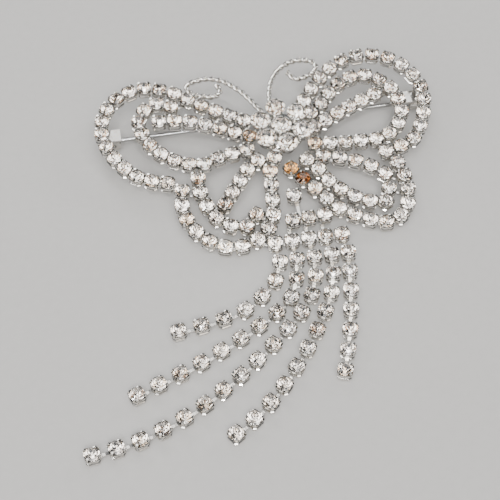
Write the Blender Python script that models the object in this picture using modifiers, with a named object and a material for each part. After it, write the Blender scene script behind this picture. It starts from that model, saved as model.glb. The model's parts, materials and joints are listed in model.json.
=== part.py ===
"""Butterfly brooch of cup chain with a five-strand tassel, lying on its back.

Lengths in the tables are millimetres. The butterfly is laid out in its own
plane: u runs along the pin toward the right wing, v toward the antennae and w
up through the stones. That plane is tilted on its pin hardware, so the lower
wing edge and the tassel rest on the table. +Z is up and the origin is under
the middle of the whole brooch.
"""
import math

import bmesh
import bpy
from mathutils import Matrix, Vector

MM = 0.001
GAP = 0.3                        # clearance between neighbouring solids

# Stones and cups
CUP_RADIUS = 1.45                # small cup, 2.8 mm stone
CUP_HEIGHT = 2.0
CROWN_HEIGHT = 0.55
TABLE_RADIUS = 0.85
LINK_WIDTH = 0.7
LINK_THICKNESS = 0.4
LINK_BASE = 0.35                 # link bars stand this far above the cup's foot
LINK_BITE = 0.6                  # a link bar ends this far from a cup's centre
CUP_FLAT = CUP_RADIUS * math.cos(math.pi / 8)
PETAL_RADIUS = 1.95              # flower setting, 3.6 mm stone
PETAL_WALL = 0.25
PETAL_FLOOR = 0.5
PETAL_HEIGHT = 2.5
PETAL_FOOT_RADIUS = 1.25         # a setting is narrow below, where the chains' last cups come close
PETAL_FLARE = (1.25, 1.85)       # heights between which it widens
FLARE_OFFSET = 0.1               # the flare's inside starts this much higher
PETAL_RING = 4.3                 # petals' distance from the flower's middle
STONE_PLAY = 0.1                 # between a flower stone's edge and its setting
STONE_RISE = 0.7                 # a flower stone's flat top above its setting's rim
STONE_TABLE = 0.6                # that top's radius, as a share of the stone's
STONE_BELT = 0.3
STONE_POINT = 0.4                # radius of the stone's blunted point
STONE_SEAT = 0.5                 # that point's height above the setting's floor

# Where the butterfly's plane stands
TILT = math.radians(7.0)
FLOWER_FOOT = Vector((7.0, 21.85, 3.06))
FLOWER_CENTRE = Vector((0.35, 1.75, 1.6))   # the flower sits above the chains' ends
PLATE_RADIUS = 4.5               # stops short of the last cups round it and of the pin stem
PLATE_THICKNESS = 0.6

# Pin hardware, on a line across the back of both upper wings
PIN_V = 7.2
PIN_W = -2.3
JOINT_U = -32.4
CATCH_U = 28.6
STEM_RADIUS = 0.42
STEM_LENGTH = 63.0
EYE_RADIUS = 1.0
EYE_BORE = 0.55
EYE_LENGTH = 1.0
RIVET_RADIUS = 0.4
RIVET_PLAY = 0.12
EAR_RADIUS = 1.5
EAR_THICKNESS = 0.5
EAR_OFFSET = 1.1
WEB_WIDTH = 2.2
WEB_THICKNESS = 0.4
POINT_LENGTH = 6.0
POINT_TAPER = (0.98, 0.2)        # the ground point's two ends, as shares of the stem's radius
FOOT_LENGTH = 3.2
FOOT_THICKNESS = 0.6
HOUSING_OUTER = 1.6
HOUSING_INNER = 1.15
HOUSING_LENGTH = 1.5
BARREL_OUTER = 1.0
BARREL_INNER = 0.62
BARREL_LENGTH = 2.6
BARREL_OVERHANG = 0.45           # from the housing's middle to the barrel's, along the pin
LEVER_SIZE = (0.6, 1.3, 0.6)
LEVER_FROM_AXIS = 1.35
LEVER_SETBACK = 0.05
SLOT_WIDTH = 1.3
OVERRUN = 4.0                    # a bore's cutter is this much longer than what it cuts
FOOT_TOP = -GAP                  # both feet sit under the chains, seen in w

# Wing chains: (control points in u, v; number of stones)
WING_CHAINS = {
    "left_upper_outer_chain": ([
        (-6.4, 5.4), (-10.6, 7.9), (-15.2, 10.9), (-19.6, 14.2), (-25.8, 16.1), (-31.9, 13.3),
        (-34.5, 7.4), (-33.0, 1.1), (-28.8, -4.4), (-23.4, -6.6)], 19),
    "left_upper_inner_chain": ([
        (-20.2, 10.8), (-23.8, 12.0), (-26.9, 8.6), (-26.0, 3.5), (-22.4, -1.0), (-16.9, -3.5),
        (-12.0, -2.3), (-7.0, -1.5)], 13),
    "left_upper_vein": ([(-23.0, 7.7), (-16.5, 6.6), (-7.9, 2.4), (-5.95, 1.55)], 7),
    "left_lower_outer_chain": ([
        (-20.9, -8.8), (-21.3, -13.8), (-18.8, -19.2), (-14.1, -22.4), (-8.9, -21.9), (-5.2, -18.6),
        (-4.1, -13.5), (-3.4, -7.0), (-2.1, -4.2)], 14),
    "left_lower_inner_chain": ([
        (-17.4, -6.5), (-17.3, -10.9), (-15.2, -15.9), (-10.9, -18.7), (-7.7, -16.2)], 7),
    "left_lower_vein": ([(-13.2, -13.0), (-9.9, -8.7), (-7.2, -5.5), (-5.3, -4.3)], 5),
    "right_upper_outer_chain": ([
        (6.1, 8.2), (10.3, 13.1), (15.4, 16.6), (21.5, 17.3), (27.2, 14.1), (30.1, 7.6),
        (28.8, 0.9), (25.4, -4.3), (19.8, -6.1)], 17),
    "right_upper_inner_chain": ([
        (7.0, 5.1), (9.4, 7.0), (13.2, 10.8), (18.9, 12.6), (23.9, 8.7), (24.8, 2.2), (20.6, -2.5),
        (14.3, -2.9), (6.4, -2.2)], 17),
    "right_upper_vein": ([(20.3, 7.5), (14.2, 5.1), (6.9, 1.6)], 6),
    "right_lower_vein": ([(18.5, -11.1), (14.2, -7.6), (7.4, -5.3)], 5),
    "right_lower_outer_chain": ([
        (21.5, -9.0), (22.2, -14.6), (20.4, -19.9), (16.5, -21.7), (12.4, -20.2), (7.9, -17.1),
        (4.9, -12.9), (2.8, -10.0), (0.7, -7.1)], 13),
    "right_lower_inner_chain": ([
        (18.5, -14.5), (17.0, -17.3), (12.3, -15.7), (8.1, -12.0), (6.0, -8.3), (4.1, -5.6)], 8),
    "upper_rung": ([(0.1, -13.2), (0.2, -13.2)], 1),
    "lower_rung": ([(-1.1, -18.6), (5.1, -18.3)], 3),
}
TIE_LINK_U = 0.45
TIE_LINK_V = (-14.85, -17.1)

# Tassel: five strands hang side by side from a bar of five cups
BAR_U = (-5.3, -2.1, 1.1, 4.3, 7.5)
BAR_V = -22.9
RUNG_V = -18.5
STRAND_CUP_FOOT = 0.05           # a strand's cups lie this far above the table
STRAND_PITCH = 4.3
JOINT_GAP = 0.35                 # between a link bar and the cup that swings on it
STONES_PER_RUN = 4               # a strand bends between runs of this many

# Strand routes on the table, from the flower's foot: (points; stones below the bar)
STRANDS = (
    ([(-5.3, -22.9), (-5.2, -27.1), (-7.0, -31.3), (-12.0, -35.8), (-17.5, -37.8), (-25.2, -38.9)], 7),
    ([(-2.1, -22.9), (-2.0, -27.2), (-4.4, -34.9), (-11.0, -40.1), (-22.7, -46.1), (-35.2, -50.9)], 11),
    ([(1.1, -22.9), (1.3, -27.2), (-1.0, -35.7), (-9.6, -44.6), (-23.2, -54.4), (-34.9, -59.5),
      (-43.8, -61.1)], 15),
    ([(4.3, -22.9), (4.6, -27.3), (2.6, -36.0), (-4.2, -47.0), (-12.5, -56.4), (-19.4, -61.4)], 11),
    ([(7.5, -22.9), (7.8, -27.1), (6.3, -36.1), (4.3, -44.5), (1.5, -52.8)], 7),
)

# Antennae: wire centre lines in u, v, from the flower's plate to the curl's end
LEFT_ANTENNA = [(-2.2, 6.8), (-4.3, 10.8), (-6.6, 14.0), (-10.2, 16.7), (-13.9, 17.0), (-16.3, 15.8),
                (-15.8, 14.3), (-13.2, 13.0), (-10.7, 12.8), (-9.8, 14.1), (-10.5, 15.4)]
RIGHT_ANTENNA = [(-0.2, 7.4), (-0.1, 12.0), (1.6, 15.9), (4.6, 18.3), (8.2, 18.7), (10.3, 17.3),
                 (9.8, 15.7), (7.6, 14.5), (5.6, 14.5), (4.3, 16.3)]
ANTENNA_RADIUS = 0.5
ANTENNA_W = 0.6
ANTENNA_POINTS = 34

SILVER = ("silver_plate", (0.78, 0.77, 0.75), 0.22, 1.0)
CRYSTAL = ("clear_crystal", (0.90, 0.88, 0.86), 0.05, 0.0)
STEEL = ("steel_wire", (0.62, 0.62, 0.62), 0.30, 1.0)


# Scene, materials and objects

def clear_scene():
    for old in list(bpy.data.objects):
        bpy.data.objects.remove(old)


def make_collection(name):
    collection = bpy.data.collections.new(name)
    bpy.context.scene.collection.children.link(collection)
    return collection


def material(finish):
    name, colour, roughness, metallic = finish
    found = bpy.data.materials.get(name)
    if found:
        return found
    made = bpy.data.materials.new(name)
    made.use_nodes = True
    shader = made.node_tree.nodes["Principled BSDF"]
    shader.inputs["Base Color"].default_value = (*colour, 1.0)
    shader.inputs["Roughness"].default_value = roughness
    shader.inputs["Metallic"].default_value = metallic
    made.diffuse_color = (*colour, 1.0)
    return made


def object_from(name, bm, finish=SILVER, collection=None, parent=None):
    """Turns a bmesh drawn in millimetres into an object in metres."""
    bm.transform(Matrix.Scale(MM, 4))
    mesh = bpy.data.meshes.new(name)
    bm.to_mesh(mesh)
    bm.free()
    made = bpy.data.objects.new(name, mesh)
    made.data.materials.append(material(finish))
    (collection or parts).objects.link(made)
    made.parent = parent
    return made


def cutter_from(name, bm, parent=None):
    made = object_from(name, bm, collection=cutters, parent=parent)
    made.hide_render = True
    made.display_type = "WIRE"
    return made


def combine(target, other, operation):
    boolean = target.modifiers.new(operation.title(), "BOOLEAN")
    boolean.operation = operation
    boolean.object = other


# Shapes drawn in millimetres

def add_cylinder(bm, matrix, radius, depth, segments):
    bmesh.ops.create_cone(bm, cap_ends=True, segments=segments, radius1=radius,
                          radius2=radius, depth=depth, matrix=matrix)


def add_box(bm, matrix, size):
    bmesh.ops.create_cube(bm, size=1.0, matrix=matrix @ Matrix.Diagonal((*size, 1.0)))


def add_cup(bm, place, heading):
    """An eight-sided cup with its stone's crown, flats toward its neighbours."""
    turn = Matrix.Rotation(heading + math.pi / 8, 4, "Z")
    middle = Matrix.Translation(place + Vector((0, 0, CUP_HEIGHT / 2)))
    before = set(bm.faces)
    add_cylinder(bm, middle @ turn, CUP_RADIUS, CUP_HEIGHT, 8)
    new_faces = [face for face in bm.faces if face not in before]
    top = max(new_faces, key=lambda face: face.calc_center_median().z)
    bmesh.ops.inset_individual(bm, faces=[top], thickness=CUP_RADIUS - TABLE_RADIUS,
                               depth=CROWN_HEIGHT, use_even_offset=False)


def add_link(bm, start, end):
    """A flat bar from one point to another, at the height of the cups' feet."""
    along = end - start
    place = Matrix.Translation((start + end) / 2 + Vector((0, 0, LINK_BASE + LINK_THICKNESS / 2)))
    turn = Matrix.Rotation(math.atan2(along.y, along.x), 4, "Z")
    add_box(bm, place @ turn, (along.length, LINK_WIDTH, LINK_THICKNESS))


def smooth_route(points, samples=24):
    """Points along a smooth curve that passes through every control point."""
    points = [Vector(point) for point in points]
    padded = [points[0]] + points + [points[-1]]
    curve = []
    for a, b, c, d in zip(padded, padded[1:], padded[2:], padded[3:]):
        for step in range(samples):
            t = step / samples
            curve.append(0.5 * (2 * b + (c - a) * t + (2 * a - 5 * b + 4 * c - d) * t * t
                                + (3 * b - a - 3 * c + d) * t ** 3))
    return curve + [points[-1]]


def walk(curve, distances):
    """Points at the given distances along a curve."""
    found = []
    travelled = 0.0
    index = 0
    for wanted in distances:
        while index < len(curve) - 2 and travelled + (curve[index + 1] - curve[index]).length < wanted:
            travelled += (curve[index + 1] - curve[index]).length
            index += 1
        step = curve[index + 1] - curve[index]
        found.append(curve[index] + step.normalized() * (wanted - travelled))
    return found


def curve_length(curve):
    return sum((b - a).length for a, b in zip(curve, curve[1:]))


def heading(points, index):
    """Direction of a row of points at one of them."""
    ahead = points[min(index + 1, len(points) - 1)]
    behind = points[max(index - 1, 0)]
    return math.atan2(ahead.y - behind.y, ahead.x - behind.x)


def add_bar(bm, a, b, end_clearance=None):
    """A link bar that bites into cup a, and into cup b or stops short of it."""
    along = (b - a).normalized()
    back = LINK_BITE if end_clearance is None else CUP_FLAT + end_clearance
    add_link(bm, a + along * LINK_BITE, b - along * back)


def chain_piece(name, cups, bars, parent, origin=Vector()):
    """One run of chain: its cups joined by its link bars into a single body."""
    bm = bmesh.new()
    for place, turn in cups:
        add_cup(bm, place - origin, turn)
    piece = object_from(name, bm, parent=parent)
    if bars:
        bm = bmesh.new()
        for start, end, clearance in bars:
            add_bar(bm, start - origin, end - origin, clearance)
        combine(piece, cutter_from(name + "_links", bm, piece), "UNION")
    return piece


# Butterfly

def build_wing_chain(name, control, count, parent):
    curve = smooth_route([(*point, 0.0) for point in control])
    length = curve_length(curve)
    centres = walk(curve, [length * i / max(count - 1, 1) for i in range(count)])
    cups = [(place, heading(centres, i)) for i, place in enumerate(centres)]
    bars = [(a, b, None) for a, b in zip(centres, centres[1:])]
    return chain_piece(name, cups, bars, parent)


def turned_piece(name, profile, place, finish, parent, segments=16):
    """A profile of (radius, height) points turned about the vertical."""
    bm = bmesh.new()
    corners = [bm.verts.new((radius, 0.0, height)) for radius, height in profile]
    for a, b in zip(corners, corners[1:]):
        bm.edges.new((a, b))
    made = object_from(name, bm, finish, parent=parent)
    made.location = place * MM
    screw = made.modifiers.new("Turn", "SCREW")
    screw.steps = segments
    screw.render_steps = segments
    screw.use_merge_vertices = True
    screw.merge_threshold = 0.00001
    return made


def build_flower(parent):
    ring = [FLOWER_CENTRE + PETAL_RING * Vector((math.cos(a), math.sin(a), 0.0))
            for a in (math.radians(96 - 60 * i) for i in range(6))]
    names = ["centre", "head_petal"] + [f"petal_{i}" for i in range(1, 6)]
    inner, inner_foot = PETAL_RADIUS - PETAL_WALL, PETAL_FOOT_RADIUS - PETAL_WALL
    flare_start, flare_end = PETAL_FLARE
    setting = [(0.0, PETAL_FLOOR), (inner_foot, PETAL_FLOOR), (inner_foot, flare_start + FLARE_OFFSET),
               (inner, flare_end + FLARE_OFFSET), (inner, PETAL_HEIGHT), (PETAL_RADIUS, PETAL_HEIGHT),
               (PETAL_RADIUS, flare_end), (PETAL_FOOT_RADIUS, flare_start), (PETAL_FOOT_RADIUS, 0.0),
               (0.0, 0.0)]
    girdle = inner - STONE_PLAY
    top, foot = PETAL_HEIGHT + STONE_RISE, PETAL_FLOOR + STONE_SEAT
    stone = [(0.0, top), (girdle * STONE_TABLE, top), (girdle, PETAL_HEIGHT),
             (girdle, PETAL_HEIGHT - STONE_BELT), (STONE_POINT, foot), (0.0, foot)]
    for name, place in zip(names, [FLOWER_CENTRE] + ring):
        turned_piece(name + "_setting", setting, place, SILVER, parent)
        turned_piece(name + "_stone", stone, place, CRYSTAL, parent)


def build_plate(parent):
    bm = bmesh.new()
    middle = FLOWER_CENTRE - Vector((0, 0, GAP + PLATE_THICKNESS / 2))
    add_cylinder(bm, Matrix.Translation(middle), PLATE_RADIUS, PLATE_THICKNESS, 32)
    return object_from("flower_back_plate", bm, parent=parent)


def build_antenna(name, route, parent):
    curve = smooth_route([(*point, ANTENNA_W) for point in route])
    length = curve_length(curve)
    points = walk(curve, [length * i / (ANTENNA_POINTS - 1) for i in range(ANTENNA_POINTS)])
    data = bpy.data.curves.new(name, "CURVE")
    data.dimensions = "3D"
    data.bevel_depth = ANTENNA_RADIUS * MM
    data.bevel_resolution = 2
    data.use_fill_caps = True
    spline = data.splines.new("POLY")
    spline.points.add(len(points) - 1)
    for corner, point in zip(spline.points, points):
        corner.co = (*(point * MM), 1.0)
    made = bpy.data.objects.new(name, data)
    data.materials.append(material(SILVER))
    parts.objects.link(made)
    made.parent = parent
    return made


def build_tie_link(parent):
    """The thin upright link between the two rungs."""
    bm = bmesh.new()
    add_link(bm, Vector((TIE_LINK_U, TIE_LINK_V[0], 0.0)), Vector((TIE_LINK_U, TIE_LINK_V[1], 0.0)))
    return object_from("rung_tie_link", bm, parent=parent)


# Pin hardware. Each piece is drawn about its own point of the pin's line.

ALONG_U = Matrix.Rotation(math.pi / 2, 4, "Y")
ALONG_V = Matrix.Rotation(math.pi / 2, 4, "X")
HINGE = Vector((JOINT_U, PIN_V, PIN_W))
CATCH = Vector((CATCH_U, PIN_V, PIN_W))


def shift(u=0.0, v=0.0, w=0.0):
    return Matrix.Translation((u, v, w))


def build_joint_bracket(parent):
    """A foot under the left wing with two rounded ears that carry the rivet."""
    foot_middle = FOOT_TOP - FOOT_THICKNESS / 2 - PIN_W
    bm = bmesh.new()
    add_box(bm, shift(w=foot_middle), (FOOT_LENGTH, 2 * EAR_OFFSET + EAR_THICKNESS, FOOT_THICKNESS))
    bracket = object_from("joint_bracket", bm, parent=parent)
    bracket.location = HINGE * MM
    ears, webs, bore = bmesh.new(), bmesh.new(), bmesh.new()
    for side in (-1, 1):
        add_cylinder(ears, shift(v=side * EAR_OFFSET) @ ALONG_V, EAR_RADIUS, EAR_THICKNESS, 20)
        add_box(webs, shift(v=side * EAR_OFFSET, w=foot_middle / 2),
                (WEB_WIDTH, WEB_THICKNESS, foot_middle))
    add_cylinder(bore, ALONG_V, RIVET_RADIUS + RIVET_PLAY, 4 * EAR_OFFSET, 16)
    combine(bracket, cutter_from("bracket_ears", ears, bracket), "UNION")
    combine(bracket, cutter_from("bracket_webs", webs, bracket), "UNION")
    combine(bracket, cutter_from("bracket_bore", bore, bracket), "DIFFERENCE")


def build_rivet(parent):
    bm = bmesh.new()
    length = 2 * EAR_OFFSET + EAR_THICKNESS + GAP
    add_cylinder(bm, ALONG_V, RIVET_RADIUS, length, 12)
    rivet = object_from("joint_rivet", bm, STEEL, parent=parent)
    rivet.location = HINGE * MM


def build_stem(parent):
    """The pin: an eye on the rivet, a long shank and a ground point."""
    eye, shank, point, bore = bmesh.new(), bmesh.new(), bmesh.new(), bmesh.new()
    add_cylinder(eye, ALONG_V, EYE_RADIUS, EYE_LENGTH, 16)
    stem = object_from("pin_stem", eye, STEEL, parent=parent)
    stem.location = HINGE * MM
    shank_start = (EYE_RADIUS + EYE_BORE) / 2
    shank_end = STEM_LENGTH - POINT_LENGTH
    add_cylinder(shank, shift(u=(shank_start + shank_end) / 2) @ ALONG_U, STEM_RADIUS,
                 shank_end - shank_start, 10)
    bmesh.ops.create_cone(point, cap_ends=True, segments=10, radius1=STEM_RADIUS * POINT_TAPER[0],
                          radius2=STEM_RADIUS * POINT_TAPER[1], depth=POINT_LENGTH + GAP,
                          matrix=shift(u=shank_end + (POINT_LENGTH - GAP) / 2) @ ALONG_U)
    add_cylinder(bore, ALONG_V, EYE_BORE, 2 * EYE_LENGTH, 12)
    combine(stem, cutter_from("stem_shank", shank, stem), "UNION")
    combine(stem, cutter_from("stem_point", point, stem), "UNION")
    combine(stem, cutter_from("eye_bore", bore, stem), "DIFFERENCE")


def slotted_ring(name, outer, inner, length, along, parent):
    """A short tube along the pin with a slot that opens away from the wing."""
    tube, bore, slot = bmesh.new(), bmesh.new(), bmesh.new()
    add_cylinder(tube, shift(u=along) @ ALONG_U, outer, length, 20)
    add_cylinder(bore, ALONG_U, inner, length + OVERRUN, 16)
    add_box(slot, shift(w=-outer), (length + OVERRUN, SLOT_WIDTH, 2 * outer))
    ring = object_from(name, tube, parent=parent)
    ring.location = CATCH * MM
    combine(ring, cutter_from(name + "_bore", bore, ring), "DIFFERENCE")
    combine(ring, cutter_from(name + "_slot", slot, ring), "DIFFERENCE")
    return ring


def build_catch(parent):
    """The catch: a foot under the right wing with a slotted housing below it."""
    housing = slotted_ring("catch_housing", HOUSING_OUTER, HOUSING_INNER, HOUSING_LENGTH, 0.0, parent)
    foot = bmesh.new()
    foot_middle = FOOT_TOP - FOOT_THICKNESS / 2 - PIN_W
    add_box(foot, shift(u=(HOUSING_LENGTH - FOOT_LENGTH) / 2, w=foot_middle),
            (FOOT_LENGTH, 2 * EAR_OFFSET + EAR_THICKNESS, FOOT_THICKNESS))
    combine(housing, cutter_from("catch_foot", foot, housing), "UNION")


def build_barrel(parent):
    """The rollover sleeve inside the housing, turned by the lever at its end."""
    barrel = slotted_ring("safety_barrel", BARREL_OUTER, BARREL_INNER, BARREL_LENGTH,
                          BARREL_OVERHANG, parent)
    lever = bmesh.new()
    lever_u = BARREL_OVERHANG + (BARREL_LENGTH - LEVER_SIZE[0]) / 2 - LEVER_SETBACK
    add_box(lever, shift(u=lever_u, v=LEVER_FROM_AXIS), LEVER_SIZE)
    combine(barrel, cutter_from("barrel_lever", lever, barrel), "UNION")


# Tassel

def strand_centres(route, count):
    """A strand's cup centres at the table, the bar's own cup first."""
    curve = smooth_route([(*point, 0.0) for point in route])
    return walk(curve, [STRAND_PITCH * i for i in range(count + 1)])


def build_tassel_bar(parent):
    """Five cups side by side, linked up to the rung and down to each strand."""
    cups = [(Vector((u, BAR_V, 0.0)), 0.0) for u in BAR_U]
    bars = [(a[0], b[0], None) for a, b in zip(cups, cups[1:])]
    bars += [(place, Vector((place.x, RUNG_V, 0.0)), GAP) for place, _ in cups[1:4]]
    for (place, _), (route, count) in zip(cups, STRANDS):
        first_cup = strand_centres(route, count)[1]
        bars.append((place, first_cup, JOINT_GAP))
    return chain_piece("tassel_bar", cups, bars, parent)


def build_strand(number, route, count):
    """One strand: short runs, each hinged where the link bar before it ends."""
    table = Vector((FLOWER_FOOT.x, FLOWER_FOOT.y, STRAND_CUP_FOOT))
    centres = [centre + table for centre in strand_centres(route, count)]
    to_pivot = CUP_FLAT + JOINT_GAP / 2
    previous, previous_pivot = None, Vector()
    for run, first in enumerate(range(1, count + 1, STONES_PER_RUN), 1):
        last = min(first + STONES_PER_RUN - 1, count)
        cups = [(centres[i], heading(centres, i)) for i in range(first, last + 1)]
        bars = [(centres[i], centres[i + 1], None) for i in range(first, last)]
        if last < count:
            bars.append((centres[last], centres[last + 1], JOINT_GAP))
        back = (centres[first - 1] - centres[first]).normalized()
        pivot = centres[first] + back * to_pivot + Vector((0, 0, LINK_BASE + LINK_THICKNESS / 2))
        piece = chain_piece(f"strand_{number}_run_{run}", cups, bars, previous, pivot)
        piece.location = (pivot - previous_pivot) * MM
        previous, previous_pivot = piece, pivot


clear_scene()
parts = make_collection("butterfly_brooch")
cutters = make_collection("cutters")
butterfly = bpy.data.objects.new("butterfly_plane", None)
butterfly.location = FLOWER_FOOT * MM
butterfly.rotation_euler = (TILT, 0, 0)
parts.objects.link(butterfly)

for chain_name, (control_points, stone_count) in WING_CHAINS.items():
    build_wing_chain(chain_name, control_points, stone_count, butterfly)
build_flower(butterfly)
build_plate(butterfly)
build_tie_link(butterfly)
build_antenna("left_antenna", LEFT_ANTENNA, butterfly)
build_antenna("right_antenna", RIGHT_ANTENNA, butterfly)
build_joint_bracket(butterfly)
build_rivet(butterfly)
build_stem(butterfly)
build_catch(butterfly)
build_barrel(butterfly)
build_tassel_bar(butterfly)
for strand_number, (strand_route, strand_stones) in enumerate(STRANDS, 1):
    build_strand(strand_number, strand_route, strand_stones)
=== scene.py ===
# %% [markdown]
# # A butterfly brooch of cup chain
# Cup chain is sold by the metre: little stamped cups in a row, each holding a round crystal under four
# claws, joined by short bars. This brooch bends it into wings, gathers it at a flower of seven larger
# crystals and lets five strands of it hang free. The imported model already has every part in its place,
# so this lesson starts by loading it. It then asks the model where each stone sits and builds the fine
# metalwork and the cut crystal there.

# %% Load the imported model
import json
import math

import bmesh
import bpy
from mathutils import Matrix, Vector


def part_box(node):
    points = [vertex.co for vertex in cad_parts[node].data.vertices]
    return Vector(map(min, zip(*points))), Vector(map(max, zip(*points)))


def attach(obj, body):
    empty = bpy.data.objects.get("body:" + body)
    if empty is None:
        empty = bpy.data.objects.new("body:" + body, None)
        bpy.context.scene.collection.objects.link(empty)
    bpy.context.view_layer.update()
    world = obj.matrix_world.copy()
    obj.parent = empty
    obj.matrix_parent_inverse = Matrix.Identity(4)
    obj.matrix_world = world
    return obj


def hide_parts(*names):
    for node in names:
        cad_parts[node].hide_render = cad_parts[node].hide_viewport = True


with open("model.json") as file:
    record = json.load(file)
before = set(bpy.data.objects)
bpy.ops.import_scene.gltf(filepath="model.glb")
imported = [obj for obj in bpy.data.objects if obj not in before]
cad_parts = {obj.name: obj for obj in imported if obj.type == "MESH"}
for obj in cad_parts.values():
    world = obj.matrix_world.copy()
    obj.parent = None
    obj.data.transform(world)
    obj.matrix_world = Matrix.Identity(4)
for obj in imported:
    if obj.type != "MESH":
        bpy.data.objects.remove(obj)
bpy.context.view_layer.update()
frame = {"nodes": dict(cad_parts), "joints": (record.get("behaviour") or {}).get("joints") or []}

MM = 0.001

# %% [markdown]
# ## The camera
# The brooch is seen from a quarter of a metre away, over its tail, looking down at a little over fifty
# degrees. A long lens, 100 mm, keeps the far wing almost as large as the near one. The camera is set
# first, so that every later step can be judged through it.

# %% Camera
def new_object(name, data):
    """An object in the scene."""
    made = bpy.data.objects.new(name, data)
    bpy.context.scene.collection.objects.link(made)
    return made


CAMERA_AT = Vector((-29.8, -152.2, 212.0)) * MM
LOOK_AT = Vector((-3.07, -0.52, 0.0)) * MM
camera = new_object("camera", bpy.data.cameras.new("camera"))
camera.location = CAMERA_AT
camera.rotation_mode = "QUATERNION"
camera.rotation_quaternion = (LOOK_AT - CAMERA_AT).to_track_quat("-Z", "Y")
camera.data.lens = 100.0
camera.data.sensor_width = 36.0
camera.data.clip_start, camera.data.clip_end = 0.01, 10.0
bpy.context.scene.camera = camera
print("camera is", round((CAMERA_AT - LOOK_AT).length / MM), "mm from the brooch")

# %% [markdown]
# ## Colours and nodes
# Colours are written as the hex values a designer would read off a swatch. Blender's shaders want linear
# light, so one function turns hex to linear. A second small function adds any node, with its settings
# and its inputs, and it serves the materials and the Geometry Nodes alike. A third does what every
# finish here needs: it lets the tone and the shine drift in patches of a real size.

# %% Colour and node helpers
def linear(hex_colour):
    """A linear RGBA colour from an sRGB hex value."""
    parts = [int(hex_colour[i:i + 2], 16) / 255 for i in (1, 3, 5)]
    return tuple(c / 12.92 if c <= 0.04045 else ((c + 0.055) / 1.055) ** 2.4 for c in parts) + (1.0,)


def add_node(tree, kind, inputs=None, **settings):
    """Adds a node. An input is a number or colour to set, or another node's socket to link."""
    node = tree.nodes.new(kind)
    for key, value in settings.items():
        setattr(node, key, value)
    for key, value in (inputs or {}).items():
        if isinstance(value, bpy.types.NodeSocket):
            tree.links.new(value, node.inputs[key])
        else:
            node.inputs[key].default_value = value
    return node


def blank_material(name):
    """A new material with its Principled shader, and the brooch's own coordinates in metres."""
    made = bpy.data.materials.new(name)
    made.use_nodes = True
    tree = made.node_tree
    place = add_node(tree, "ShaderNodeTexCoord").outputs["Object"]
    return made, tree, tree.nodes["Principled BSDF"], place


def drift(tree, shader, place, size, detail, tones, dull=None, between=(0.0, 1.0), noise_roughness=0.5):
    """Lets the colour, and the roughness if it is given, drift between two values in patches of a size."""
    patches = add_node(tree, "ShaderNodeTexNoise", {
        "Vector": place, "Scale": 1 / size, "Detail": detail, "Roughness": noise_roughness}).outputs["Fac"]
    tone = add_node(tree, "ShaderNodeMix", {
        "Factor": patches, 6: linear(tones[0]), 7: linear(tones[1])}, data_type="RGBA")
    tree.links.new(tone.outputs[2], shader.inputs["Base Color"])
    if dull:
        shine = add_node(tree, "ShaderNodeMapRange", {
            "Value": patches, "From Min": between[0], "From Max": between[1],
            "To Min": dull[0], "To Max": dull[1]})
        tree.links.new(shine.outputs["Result"], shader.inputs["Roughness"])


print("mid grey, #808080, is", round(linear("#808080")[0], 3), "in linear light")

# %% [markdown]
# ## Silver-plated brass
# The cups, links and findings are brass, stamped or drawn, then plated with bright silver. Fresh plating
# is a near mirror with a slightly warm grey-white colour. What makes it look real is that it isn't quite
# even: the barrel polishing leaves soft patches about a millimetre across, where the shine is a little
# duller, and hair-fine handling marks. So the roughness wanders with a noise of that size, and a faint
# bump tilts the reflections.

# %% Silver plating
HANDLING_MARK = 0.25 * MM        # spacing of the hair-fine marks


def plated(name, tones, dull, patch_mm, bump_height):
    """Polished metal whose shine and tone drift in patches of a real size."""
    made, tree, shader, place = blank_material(name)
    drift(tree, shader, place, patch_mm * MM, 3.0, tones, dull, (0.3, 0.7), 0.6)
    marks = add_node(tree, "ShaderNodeTexNoise", {
        "Vector": place, "Scale": 1 / HANDLING_MARK, "Detail": 2.0})
    bump = add_node(tree, "ShaderNodeBump", {
        "Height": marks.outputs["Fac"], "Distance": bump_height * MM, "Strength": 0.5})
    tree.links.new(bump.outputs["Normal"], shader.inputs["Normal"])
    shader.inputs["Metallic"].default_value = 1.0
    return made


# Bright plating: almost white, a mirror that is softest in the patches polished least.
silver_plating = plated("silver_plating", ("#EDEAE5", "#D9D5CE"), (0.10, 0.22), 1.2, 0.006)
# Tin-silver solder: greyer and duller, with the small ripples it froze with.
silver_solder = plated("silver_solder", ("#C9C7C3", "#AEABA6"), (0.26, 0.42), 0.8, 0.02)
print("metals:", silver_plating.name, silver_solder.name)

# %% [markdown]
# ## Drawn steel
# The pin is spring steel wire, pulled through a die. The die leaves lines along its length, too fine to
# show, so they are drawn 0.12 mm apart here. They are made by squeezing a noise across the wire and
# stretching it along.

# %% Drawn steel wire
DIE_LINE = 0.12 * MM
ALONG_WIRE = (0.02, 1.0, 1.0)    # the noise is fifty times longer along x, which is the closed pin's way


def drawn_steel():
    made, tree, shader, place = blank_material("drawn_steel")
    squeezed = add_node(tree, "ShaderNodeMapping", {"Vector": place, "Scale": ALONG_WIRE})
    drift(tree, shader, squeezed.outputs["Vector"], DIE_LINE, 2.0, ("#C6C6C5", "#A3A3A3"), (0.14, 0.32))
    shader.inputs["Metallic"].default_value = 1.0
    return made


steel_wire = drawn_steel()
print("wire:", steel_wire.name)

# %% [markdown]
# ## Foil-backed crystal
# A costume stone is lead glass cut with flat facets above and a pointed back below, and the back is
# coated with silver foil. Light goes in through the top, bounces between the foiled facets and comes out
# again, which is why the stone sparkles. It is made in the same two layers here: clear glass for the cut
# top, and a mirror for the back. Each back facet takes its own tone from a list, mostly silver, some
# champagne, a few brown or nearly black, as painted reflections of the light and dark seen inside a stone,
# so no two stones look alike. A few stones also get a painted amber glint over the whole stone.

# %% Crystal and foil
SMEAR = 0.9 * MM                 # size of the faint patches left by polishing cloth


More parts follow.
